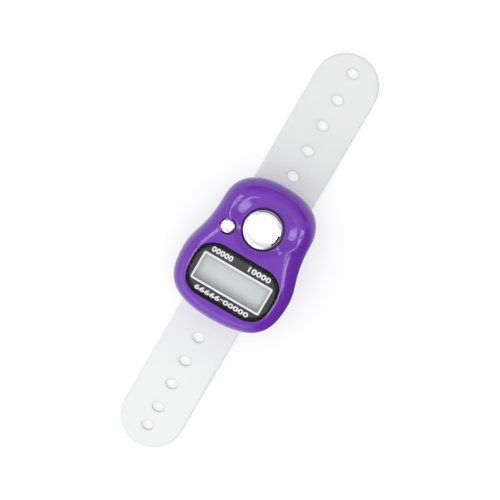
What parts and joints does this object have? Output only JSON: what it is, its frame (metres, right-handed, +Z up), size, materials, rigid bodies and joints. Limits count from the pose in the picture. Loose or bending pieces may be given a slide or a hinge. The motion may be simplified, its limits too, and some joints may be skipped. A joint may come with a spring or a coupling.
{
  "type": "finger tally counter",
  "caption": "Small electronic tally counter with a display, a large count button and a small reset button, worn on a finger by a soft perforated strap.",
  "frame": {"origin": "on the table under the middle of the strap, which is the middle of the whole object's box", "axes": "+Y along the strap towards the display end, +X towards the reset button, +Z up out of the display"},
  "size_m": [0.029, 0.1098, 0.0137],
  "materials": {
    "purple_plastic": "glossy moulded plastic",
    "lens_plastic": "clear plate printed black behind",
    "tape": "double-sided tape",
    "polariser_film": "satin film",
    "display_glass": "polished",
    "reflector_film": "metallised film",
    "zebra_rubber": "layered silicone and carbon",
    "board_laminate": "glass laminate with a green mask",
    "black_resin": "cast resin",
    "chip_ceramic": "fired",
    "chrome_cap": "chrome-plated plastic",
    "dome_rubber": "silicone rubber",
    "carbon_rubber": "conductive rubber",
    "nickel_steel": "nickel plated",
    "screw_steel": "zinc plated",
    "nylon": "moulded",
    "strap_plastic": "milky soft plastic"
  },
  "bodies": {
    "case": {"top_shell": "purple_plastic", "bottom_case": "purple_plastic", "display_lens": "lens_plastic", "lens_tape": "tape", "front_polariser": "polariser_film", "front_glass": "display_glass", "rear_glass": "display_glass", "reflector": "reflector_film", "zebra_strip": "zebra_rubber", "circuit_board": "board_laminate", "chip_resin": "black_resin", "capacitor": "chip_ceramic", "resistor": "black_resin", "count_dome": "dome_rubber", "reset_dome": "dome_rubber", "cell_can": "nickel_steel", "cell_seal": "nylon", "cell_cap": "nickel_steel", "negative_contact": "nickel_steel", "positive_contact": "nickel_steel", "case_screw_1": "screw_steel", "case_screw_2": "screw_steel", "case_screw_3": "screw_steel", "case_screw_4": "screw_steel", "board_screw_1": "screw_steel", "board_screw_2": "screw_steel", "board_screw_3": "screw_steel", "board_screw_4": "screw_steel", "strap_middle": "strap_plastic"},
    "count_button": {"count_button": "chrome_cap", "count_pill": "carbon_rubber"},
    "reset_button": {"reset_button": "chrome_cap", "reset_pill": "carbon_rubber"},
    "strap_near_1": {"strap_near_1": "strap_plastic"},
    "strap_near_2": {"strap_near_2": "strap_plastic"},
    "strap_near_3": {"strap_near_3": "strap_plastic"},
    "strap_far_1": {"strap_far_1": "strap_plastic"},
    "strap_far_2": {"strap_far_2": "strap_plastic"},
    "strap_far_3": {"strap_far_3": "strap_plastic"}
  },
  "joints": [
    {"name": "count_press", "type": "slide", "parent": "case", "child": "count_button", "axis": [0, 0, -1], "range_m": [0, 0.0006], "stiffness_N_per_m": 1500, "springref_m": -0.0004, "deforming": ["count_dome"]},
    {"name": "reset_press", "type": "slide", "parent": "case", "child": "reset_button", "axis": [0, 0, -1], "range_m": [0, 0.0006], "stiffness_N_per_m": 1500, "springref_m": -0.0004, "deforming": ["reset_dome"]},
    {"name": "near_curl", "type": "hinge", "parent": "case", "child": "strap_near_1", "pos_m": [0, -0.01847, 0.00094], "axis": [-1, 0, 0], "range_deg": [-60, 25], "stiffness_Nm_per_rad": 0.001},
    {"name": "near_curl_2", "type": "hinge", "parent": "strap_near_1", "child": "strap_near_2", "pos_m": [0, -0.03257, 0.0005], "axis": [-1, 0, 0], "range_deg": [-60, 25], "stiffness_Nm_per_rad": 0.001},
    {"name": "near_curl_3", "type": "hinge", "parent": "strap_near_2", "child": "strap_near_3", "pos_m": [0, -0.0468, 0.0005], "axis": [-1, 0, 0], "range_deg": [-60, 25], "stiffness_Nm_per_rad": 0.001},
    {"name": "far_curl", "type": "hinge", "parent": "case", "child": "strap_far_1", "pos_m": [0, 0.02074, 0.0005], "axis": [1, 0, 0], "range_deg": [-60, 25], "stiffness_Nm_per_rad": 0.001},
    {"name": "far_curl_2", "type": "hinge", "parent": "strap_far_1", "child": "strap_far_2", "pos_m": [0, 0.03418, 0.0005], "axis": [1, 0, 0], "range_deg": [-60, 25], "stiffness_Nm_per_rad": 0.001},
    {"name": "far_curl_3", "type": "hinge", "parent": "strap_far_2", "child": "strap_far_3", "pos_m": [0, 0.04691, 0.0005], "axis": [1, 0, 0], "range_deg": [-60, 25], "stiffness_Nm_per_rad": 0.001}
  ],
  "couplings": [
    {"joint": "near_curl_2", "follows": "near_curl", "ratio": 1},
    {"joint": "near_curl_3", "follows": "near_curl", "ratio": 1},
    {"joint": "far_curl_2", "follows": "far_curl", "ratio": 1},
    {"joint": "far_curl_3", "follows": "far_curl", "ratio": 1}
  ]
}
